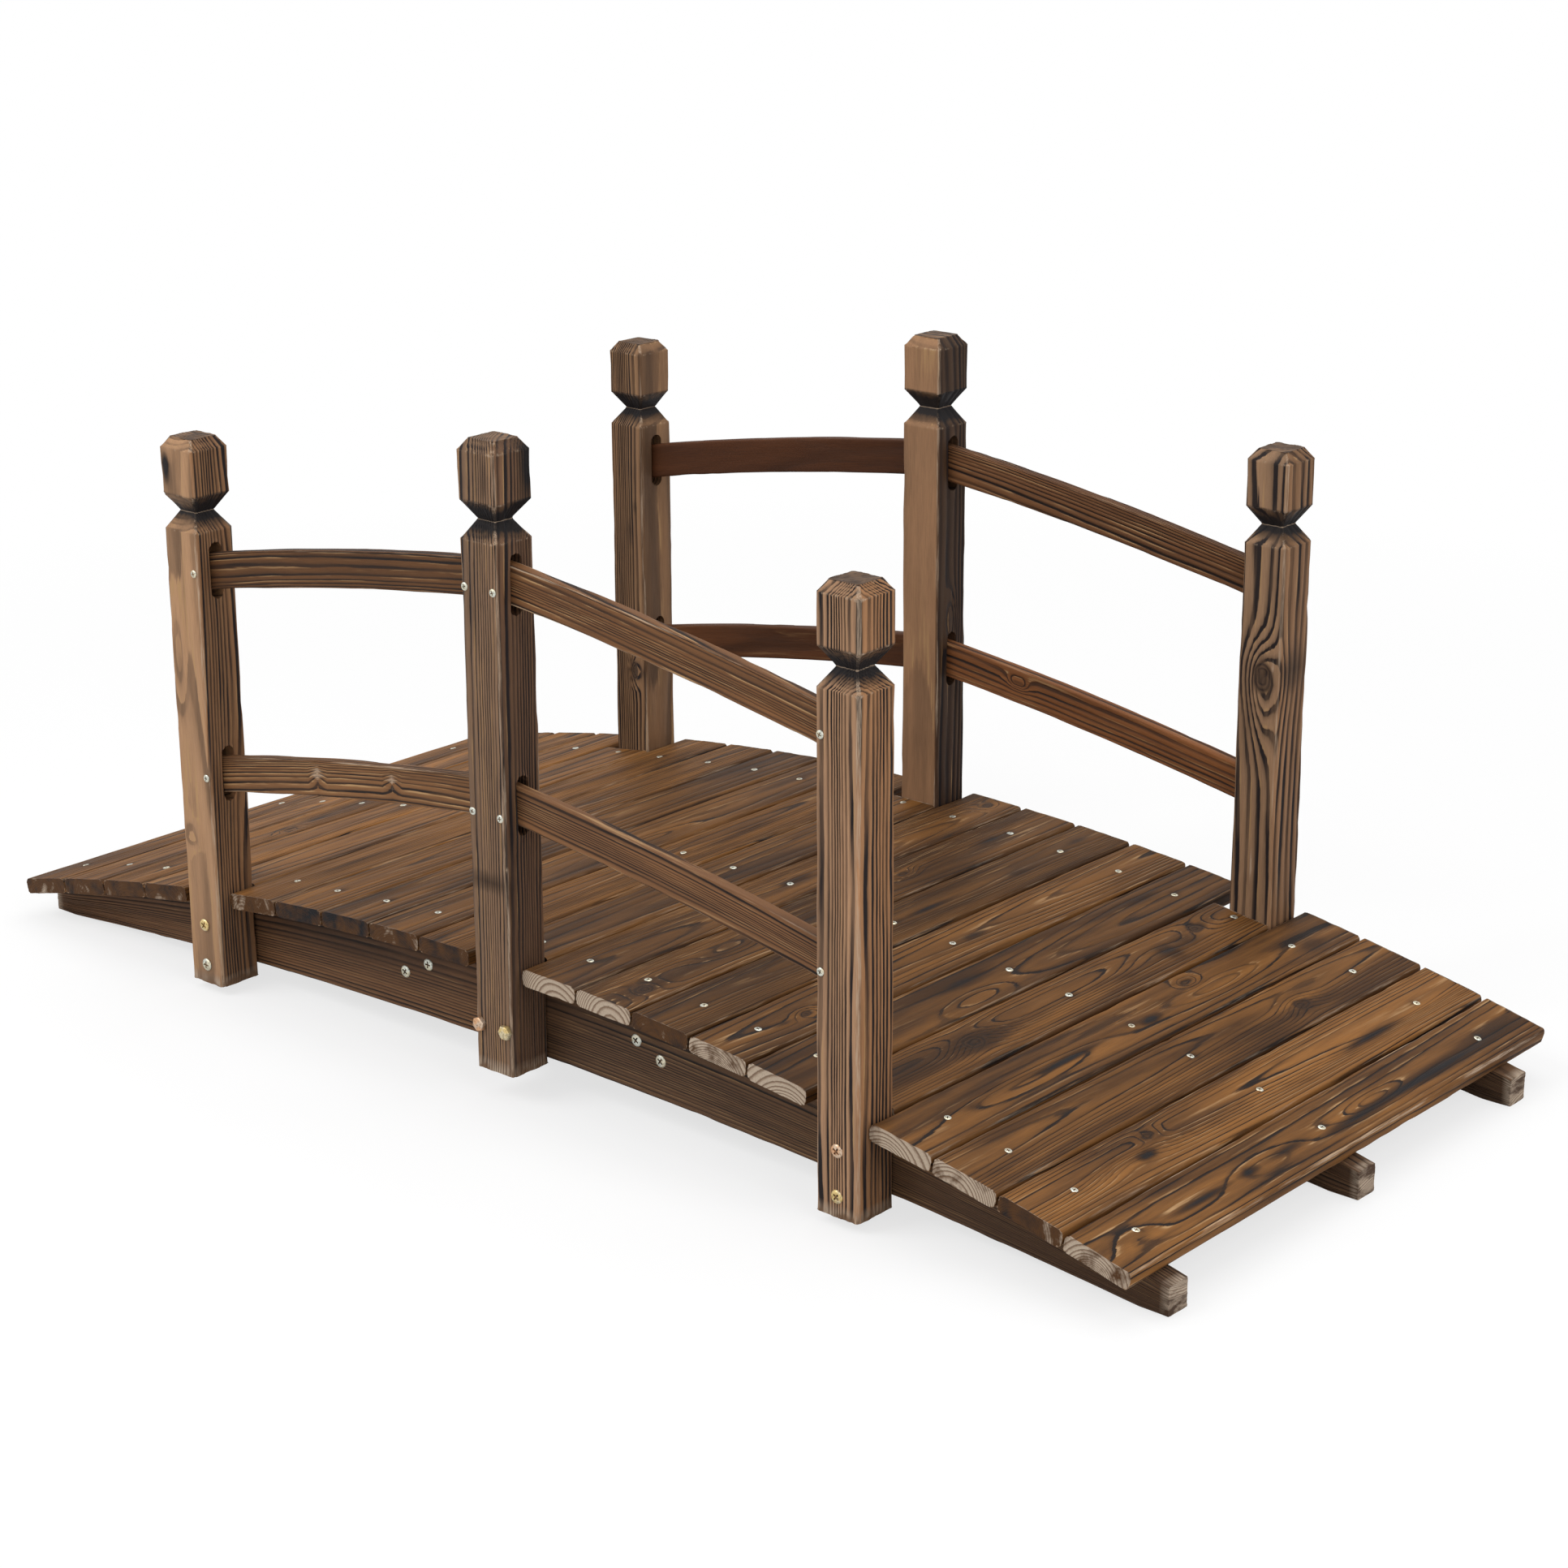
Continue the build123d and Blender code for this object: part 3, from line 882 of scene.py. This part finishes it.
def post_board(number, which, heights):
    """How one post was sawn and burnt."""
    middle = (heights[0] + heights[-1]) / 2
    shoulder, neck, block, block_top = (z - middle for z in heights[1:-1])
    usual = dict(
        tilt=(0.006, 0.006), uneven=0.009, wander=0.35, patchy=0.13, wear=0.7, corner_wear=0.2,
        bands=[(neck - 0.001, block - 0.0005, 0.003, 0.80), (neck - 0.007, neck - 0.001, 0.012, 0.62),
               (block_top + 0.002, block_top + cap_rise, 0.006, 0.16)],
        ledges=(shoulder, block, block_top),
        creases=(neck,),
        ends_burnt=(0.4, 0.4),
    )
    board = marked_board(400 + number, middle, usual, post_marks[which])
    unseen = [(back, (1.1, 1.05, 1.0), 0.0, 1.0), (left_side, (1.0, 0.95, 0.9), 0.05, 1.0)]
    board.faces = board.faces + unseen
    return board


class MakePosts(bpy.types.Operator):
    """Cut the six posts with their necks, block heads and mortises"""
    bl_idname = "bridge.make_posts"
    bl_label = "Make posts"

    def execute(self, context):
        finish = charred_fir("post_fir", **fir_looks["post_fir"])
        steps = (sizes().post_along, sizes().post_across, sizes().post_across)
        for number, (side, place) in enumerate(product(sides, places)):
            node = f"post_{side}_{place}"
            low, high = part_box(node)
            length = high.z - low.z
            middle = (low.z + high.z) / 2
            heights = post_heights(low.z, high.z)
            board = post_board(number, f"{side}_{place}", heights)
            stations = [ledge + way for ledge in board.ledges for way in (-row_by_ledge, 0, row_by_ledge)]
            stations += [crease + way for crease in board.creases for way in (-row_by_neck, 0, row_by_neck)]
            stations += [length / 2 - row_by_ledge, length / 2 - row_by_top, *scuff_stations(board)]
            mesh = as_mesh(cut_blank((length, post_side, post_side), steps, stations), node)
            mesh = carved(mesh, mortise_tool(place, low.z, length))
            points = points_of(mesh)
            half = np.interp(points[:, 0] + middle, heights, np.array(post_widths) / 2)
            scale = half / (post_side / 2)
            points[:, 1:] *= scale[:, None]
            set_points(mesh, round_section(points, half, half, post_ease * scale, post_sharpness))
            finish_board(mesh, board, half, half, length, gap_at_corner(post_ease * scale, post_sharpness),
                         sizes().post_groove, post_chips)

            # The cap was burnt with the rest, so only the foot shows sawn end grain
            sawn = np.empty(len(points), np.float32)
            mesh.attributes["sawn"].data.foreach_get("value", sawn)
            sawn[points[:, 0] > 0] = 0
            mesh.attributes["sawn"].data.foreach_set("value", sawn)
            mesh.transform(laid_at(centre_of(node), (0, 0, 1), (1, 0, 0), (0, 1, 0)))
            add_piece(mesh, f"carved_{node}", [finish], node)
        return {"FINISHED"}


# Rails and stringers

def bend_along(mesh, node, lower_edge, upper_edge, depth):
    """Lay a straight blank in its node's place, between two curves in the plane of X and Z."""
    low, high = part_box(node)
    points = points_of(mesh)
    x = points[:, 0] + (low.x + high.x) / 2
    share = points[:, 2] / depth + 0.5
    bottom, top = lower_edge(x), upper_edge(x)
    set_points(mesh, np.stack([x, points[:, 1] + centre_of(node).y, bottom + share * (top - bottom)], 1))


# How each rail was sawn and burnt
rail_marks = {
    "front_left_upper": dict(
        tint=(0.70, 0.66, 0.60), burn=0.06, pith=(0.010, 0.060), spacing=0.0032, rub_and_glint=0.8, lines=1.2,
        patchy=0.10),
    "front_left_lower": dict(
        tint=(1.05, 1.05, 1.02), burn=-0.02, pith=(0.012, 0.050), spacing=0.0028, wear=1.0, rub_and_glint=1.4,
        scuffs=[((x, -0.007, z), (0.005, 0.006, 0.007), 1.9) for x, z in ((-0.045, 0.005), (0.065, 0.003))],
        eyes=[((x, -0.007, z), (0.006, 0.01, 0.012), 1.3) for x, z in ((-0.045, 0.002), (0.065, 0.004))]),
    "front_right_upper": dict(
        tint=(1.04, 1.0, 0.94), pith=(0.010, 0.080), spacing=0.0033, wear=1.0, uneven=0.004, wander=0.2,
        lines=1.3, rub_and_glint=1.6, patchy=0.08),
    "front_right_lower": dict(
        tint=(1.20, 1.20, 1.22), burn=0.06, pith=(0.012, -0.075), spacing=0.0031, uneven=0.005,
        wander=0.2, patchy=0.05),
    "back_left_upper": dict(
        tint=(0.42, 0.30, 0.24), burn=0.02, pith=(0.09, 0.0), spacing=0.0060, wear=0.1, rub_and_glint=0.0,
        lines=0.3, patchy=0.04),
    "back_left_lower": dict(
        tint=(0.58, 0.44, 0.36), burn=0.03, pith=(0.08, 0.01), spacing=0.0050, wear=0.2, rub_and_glint=0.2,
        lines=0.4, patchy=0.05),
    "back_right_upper": dict(
        tint=(0.84, 0.77, 0.72), burn=0.06, pith=(0.02, 0.05), spacing=0.0034, wear=0.5, lines=1.1,
        patchy=0.08),
    "back_right_lower": dict(
        tint=(1.28, 1.05, 0.88), burn=-0.04, pith=(0.04, -0.04), spacing=0.0045, wear=0.5, lines=0.8,
        patchy=0.06, knots=[((-0.095, -0.007, 0.004), 0.0045)]),
}


class MakeRails(bpy.types.Operator):
    """Bend the eight hand rails between the posts"""
    bl_idname = "bridge.make_rails"
    bl_label = "Make rails"

    def execute(self, context):
        finish = charred_fir("rail_fir", **fir_looks["rail_fir"])
        steps = (sizes().along_step, sizes().across_step, sizes().across_step)
        for number, (name, marks) in enumerate(rail_marks.items()):
            node = f"rail_{name}"
            which = name.split("_")[2]
            low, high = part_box(node)
            random = np.random.default_rng(500 + number)
            board = Board(600 + number, tilt=(0.0, random.uniform(-0.02, 0.02)), **marks)
            mesh = brushed_board(node, board, (high.x - low.x, rail_thickness, rail_depth), steps, [],
                                 rail_ease, *rail_relief)
            bend_along(mesh, node, lambda x: rail_top(np.abs(x), which) - rail_depth,
                       lambda x: rail_top(np.abs(x), which), rail_depth)
            add_piece(mesh, f"brushed_{node}", [finish], node)
        return {"FINISHED"}


# Painted light: the front left half is made lighter than the others, against the shade that falls on it
stringer_painted_light = {"stringer_front_left": (1.38, 1.26, 1.14)}


def arc_height(x, crown, radius):
    """Height at x of an arc whose highest point is at mid span."""
    return crown - radius + np.sqrt(radius**2 - x**2)


def stringer_top(x):
    """Height of a stringer's top edge."""
    return arc_height(x, stringer_top_crown, stringer_top_radius)


class MakeFrame(bpy.types.Operator):
    """Saw the arched stringers, the braces between them and the splice block"""
    bl_idname = "bridge.make_frame"
    bl_label = "Make stringers and braces"

    def execute(self, context):
        finish = charred_fir("frame_fir", **fir_looks["frame_fir"])
        steps = (sizes().along_step, frame_step, frame_step)
        for number, node in enumerate(sorted(n for n in nodes if n.startswith("stringer_"))):
            low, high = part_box(node)
            half_span = max(abs(low.x), abs(high.x)) - stringer_seat
            belly_radius = (half_span**2 + belly_rise**2) / (2 * belly_rise)
            random = np.random.default_rng(700 + number)
            board = Board(800 + number, pith=(0.04, random.choice([-1, 1]) * random.uniform(0.07, 0.10)),
                          tilt=(0.0, random.uniform(-0.02, 0.02)), spacing=0.0036, wander=0.25,
                          tint=stringer_painted_light.get(node, 1.0))
            mesh = brushed_board(node, board, (high.x - low.x, high.y - low.y, stringer_depth), steps, [],
                                 frame_ease, *stringer_relief)

            def belly(x):
                inside = np.minimum(np.abs(x), half_span)
                return np.maximum(arc_height(inside, belly_rise, belly_radius), 0.0)

            bend_along(mesh, node, belly, stringer_top, stringer_depth)
            add_piece(mesh, f"sawn_{node}", [finish], node)
        for number, node in enumerate(sorted(n for n in nodes if n.startswith(("brace_", "splice_")))):
            low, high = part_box(node)
            size = high - low
            crosswise = size.y > size.x
            length, width = (size.y, size.x) if crosswise else (size.x, size.y)
            board = Board(900 + number, pith=(0.03, 0.03), ends_burnt=(0.4, 0.4))
            mesh = brushed_board(node, board, (length, width, size.z), steps, [], frame_ease, *brace_relief)
            turn = Matrix.Rotation(pi / 2, 4, "Z") if crosswise else Matrix.Identity(4)
            mesh.transform(Matrix.Translation(centre_of(node)) @ turn)
            add_piece(mesh, f"sawn_{node}", [finish], node)
        return {"FINISHED"}


# Fasteners

def screw_head(width, dome, recess):
    """Head of a screw with a cross recess, its face up along Z and its rim at Z = 0."""
    head = bmesh.new()
    # Half section as shares of the width, from the middle of the underside to the middle of the dome
    profile = [(0, -0.3), (0.22, -0.3), (0.5, -0.03), (0.5, 0), (0.4, dome / width), (0, dome / width)]
    verts = [head.verts.new((x * width, 0, z * width)) for x, z in profile]
    edges = [head.edges.new(pair) for pair in zip(verts, verts[1:])]
    bmesh.ops.spin(head, geom=verts + edges, cent=(0, 0, 0), axis=(0, 0, 1), angle=2 * pi, steps=20,
                   use_merge=True, use_duplicate=False)
    bmesh.ops.remove_doubles(head, verts=head.verts, dist=1e-6)
    bmesh.ops.recalc_face_normals(head, faces=head.faces)
    mesh = as_mesh(head, "head")
    for turn in (0, pi / 2):
        bar = bmesh.new()
        bmesh.ops.create_cube(bar, size=1.0)
        bmesh.ops.scale(bar, vec=(width * recess_length, width * recess_width, recess * 2), verts=bar.verts)
        bmesh.ops.rotate(bar, cent=(0, 0, 0), matrix=Matrix.Rotation(turn, 3, "Z"), verts=bar.verts)
        bmesh.ops.translate(bar, vec=(0, 0, dome), verts=bar.verts)
        mesh = carved(mesh, as_mesh(bar, "recess"))
    return mesh


def hex_head(width, height):
    """Head of a hexagon bolt, its face up along Z and its seat at Z = 0."""
    head = bmesh.new()
    bmesh.ops.create_circle(head, cap_ends=True, segments=6, radius=width / 2 / cos(pi / 6))
    made = bmesh.ops.extrude_face_region(head, geom=head.faces[:])
    top = [v for v in made["geom"] if isinstance(v, bmesh.types.BMVert)]
    bmesh.ops.translate(head, vec=(0, 0, height), verts=top)
    bmesh.ops.recalc_face_normals(head, faces=head.faces)
    rim = [e for e in head.edges if all(v in top for v in e.verts)]
    bmesh.ops.bevel(head, geom=rim, offset=height * 0.22, affect="EDGES",
                    segments=2, profile=0.5, material=-1)
    return as_mesh(head, "hex")


def add_fasteners(name, master, heads, materials):
    """Copies of one head. Each has its place, the direction it faces and which material it shows."""
    joined = bmesh.new()
    random = np.random.default_rng(len(heads))
    for place, facing, which in heads:
        verts_before = set(joined.verts)
        faces_before = set(joined.faces)
        joined.from_mesh(master)
        verts = [v for v in joined.verts if v not in verts_before]
        turn = Matrix.Rotation(random.uniform(0, pi), 3, "Z")
        turn = Vector(facing).to_track_quat("Z", "Y").to_matrix() @ turn
        bmesh.ops.transform(joined, matrix=Matrix.Translation(place) @ turn.to_4x4(), verts=verts)
        for face in joined.faces:
            if face not in faces_before:
                face.material_index = which
    add_piece(as_mesh(joined, name), name, materials)


class MakeFasteners(bpy.types.Operator):
    """Drive the screws of the deck, rails, posts and braces, and the bolts of the middle posts"""
    bl_idname = "bridge.make_fasteners"
    bl_label = "Make screws and bolts"

    def execute(self, context):
        zinc, brass, copper = colours().zinc, colours().brass, colours().copper
        finishes = [metal("zinc", zinc, brass, most=0.35, roughness=0.30),
                    metal("brass", brass, zinc, most=0.45, roughness=0.30),
                    metal("copper", copper, zinc, most=0.45, roughness=0.32)]
        random = np.random.default_rng(12)
        deck, rails, posts, bolts, braces = [], [], [], [], []
        for node in plank_nodes:
            laid = plank_frame(node)
            for row in screw_rows:
                along, across = (random.uniform(-stray, stray) for stray in deck_screw_stray)
                along = row - centre_of(node).y + along
                place = laid @ Vector((along, across, top_face - deck_head_sink))
                deck.append((place, laid.col[2].xyz, bright))
        for side_name, side in sides.items():
            facing = (0, side, 0)
            for place in places:
                low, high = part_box(f"post_{side_name}_{place}")
                middle = (low.x + high.x) / 2
                outside = (high.y if side > 0 else low.y) - side * head_sink
                for bay, height in product(bays[place], rail_screw_heights[place]):
                    rails.append(((middle + bay * rail_screw_reach, outside, height), facing, bright))
                if place == "middle":
                    bolts += [((middle + x, outside, bolt_height), facing, kind) for x, kind in post_bolts]
                else:
                    posts += [((middle, outside, height), facing, kind)
                              for height, kind in post_screws[place]]
            for x, height in brace_screws:
                braces.append(((x, side * (stringer_face - head_sink), height), facing, bright))
        deck_screw = screw_head(sizes().deck_screw_head, *deck_head)
        add_fasteners("deck_screws", deck_screw, deck, finishes)
        add_fasteners("rail_screws", screw_head(*rail_head), rails, finishes)
        add_fasteners("post_screws", screw_head(*post_head), posts, finishes)
        add_fasteners("post_bolts", hex_head(sizes().bolt_head, bolt_head_height), bolts, finishes)
        add_fasteners("brace_screws", screw_head(*brace_head), braces, finishes)
        return {"FINISHED"}


# Studio

camera_place = (2.1519, -2.3778, 1.2986)
camera_yaw = -41.243
camera_pitch = -18.393
camera_roll = -0.317
focal_pixels = 4097.2
image_side = 1932
sensor_width = 36           # in millimetres, as Blender counts lenses
floor_radius = 12
world_light = 0.55          # strength of the white surroundings where they light the bridge
lamps = {   # place, size and power
    "key": ((-1.6, -2.8, 3.2), 2.4, 95),
    "fill": ((3.2, -0.6, 2.2), 2.6, 45),
    "top": ((0.2, 0.8, 3.6), 3.0, 60),
}
lamp_target = Vector((0, 0, 0.25))


class MakeStudio(bpy.types.Operator):
    """Set the camera, the pale floor and the soft lights"""
    bl_idname = "bridge.make_studio"
    bl_label = "Make studio"

    def execute(self, context):
        scene = context.scene
        scene.view_settings.view_transform = "Standard"
        yaw, pitch, roll = (radians(angle) for angle in (camera_yaw, camera_pitch, camera_roll))
        forward = Vector((sin(yaw) * cos(pitch), cos(yaw) * cos(pitch), sin(pitch)))
        level = Vector((cos(yaw), -sin(yaw), 0))
        above = level.cross(forward)
        right = cos(roll) * level + sin(roll) * above
        up = -sin(roll) * level + cos(roll) * above
        lens = bpy.data.cameras.new("camera")
        lens.sensor_width = sensor_width
        lens.lens = focal_pixels * sensor_width / image_side
        camera = bpy.data.objects.new("camera", lens)
        camera.matrix_world = laid_at(camera_place, right, up, -forward)
        scene.collection.objects.link(camera)
        scene.camera = camera

        # White where it is seen, softer where it lights
        world = bpy.data.worlds.new("studio")
        scene.world = world
        world.use_nodes = True
        tree = world.node_tree
        tree.nodes.clear()
        path = add_node(tree, "LightPath")
        shown = maths(tree, "MAXIMUM", path.outputs["Is Camera Ray"], path.outputs["Is Glossy Ray"])
        shown = maths(tree, "MAXIMUM", shown, path.outputs["Is Transmission Ray"])
        soft = add_node(tree, "Background", {"Color": (1, 1, 1, 1), "Strength": world_light})
        white = add_node(tree, "Background", {"Color": (1, 1, 1, 1), "Strength": 1.0})
        both = add_node(tree, "MixShader", {0: shown, 1: soft.outputs[0], 2: white.outputs[0]})
        add_node(tree, "OutputWorld", {0: both.outputs[0]})

        floor = bmesh.new()
        bmesh.ops.create_circle(floor, cap_ends=True, segments=96, radius=floor_radius)
        ground = bpy.data.objects.new("studio_floor", as_mesh(floor, "studio_floor"))
        scene.collection.objects.link(ground)
        ground.data.materials.append(floor_finish())

        for name, (place, size, power) in lamps.items():
            lamp = bpy.data.lights.new(name, "AREA")
            lamp.size = size
            lamp.energy = power
            light = bpy.data.objects.new(name, lamp)
            aim = (lamp_target - Vector(place)).to_track_quat("-Z", "Y")
            light.matrix_world = Matrix.Translation(place) @ aim.to_matrix().to_4x4()
            scene.collection.objects.link(light)
        return {"FINISHED"}


def floor_finish():
    """Pale floor that shows as white away from the bridge and keeps a soft shadow."""
    material, tree, shader = new_material("studio_floor")
    shader.inputs["Base Color"].default_value = tuple(colours().floor)
    shader.inputs["Roughness"].default_value = 0.9
    shader.inputs["Specular IOR Level"].default_value = 0.1
    place = add_node(tree, "TexCoord").outputs["Object"]
    away = add_node(tree, "VectorMath", {0: place}, operation="LENGTH").outputs["Value"]
    even = ramp(tree, maths(tree, "DIVIDE", away, 3.0), (0.28, 0.72), (0.75, 1.0))
    path = add_node(tree, "LightPath")
    white = add_node(tree, "Emission", {"Color": (1, 1, 1, 1), "Strength": 1.0})
    share = maths(tree, "MULTIPLY", path.outputs["Is Camera Ray"], even)
    both = add_node(tree, "MixShader", {0: share, 1: shader.outputs[0], 2: white.outputs[0]})
    output = next(n for n in tree.nodes if n.type == "OUTPUT_MATERIAL")
    tree.links.new(both.outputs[0], output.inputs[0])
    return material


class BridgePanel(bpy.types.Panel):
    """Sizes, colours and making steps of the footbridge"""
    bl_idname = "VIEW3D_PT_footbridge"
    bl_label = "Footbridge"
    bl_space_type = "VIEW_3D"
    bl_region_type = "UI"
    bl_category = "Footbridge"

    def draw(self, context):
        layout = self.layout
        for group in (context.scene.bridge_sizes, context.scene.bridge_colours):
            for name in group.__annotations__:
                layout.prop(group, name)
        for operator in operators:
            layout.operator(operator.bl_idname)


operators = (MakePlanks, MakePosts, MakeRails, MakeFrame, MakeFasteners, MakeStudio)
classes = (BridgeSizes, BridgeColours, *operators, BridgePanel)


def register():
    """Register the classes and their properties."""
    for item in classes:
        bpy.utils.register_class(item)
    bpy.types.Scene.bridge_sizes = bpy.props.PointerProperty(type=BridgeSizes)
    bpy.types.Scene.bridge_colours = bpy.props.PointerProperty(type=BridgeColours)


def unregister():
    """Take the classes and their properties away."""
    del bpy.types.Scene.bridge_colours
    del bpy.types.Scene.bridge_sizes
    for item in reversed(classes):
        bpy.utils.unregister_class(item)


def main():
    """Make the whole scene."""
    register()
    bpy.ops.bridge.make_planks()
    bpy.ops.bridge.make_posts()
    bpy.ops.bridge.make_rails()
    bpy.ops.bridge.make_frame()
    bpy.ops.bridge.make_fasteners()
    bpy.ops.bridge.make_studio()


if __name__ == "__main__":
    main()
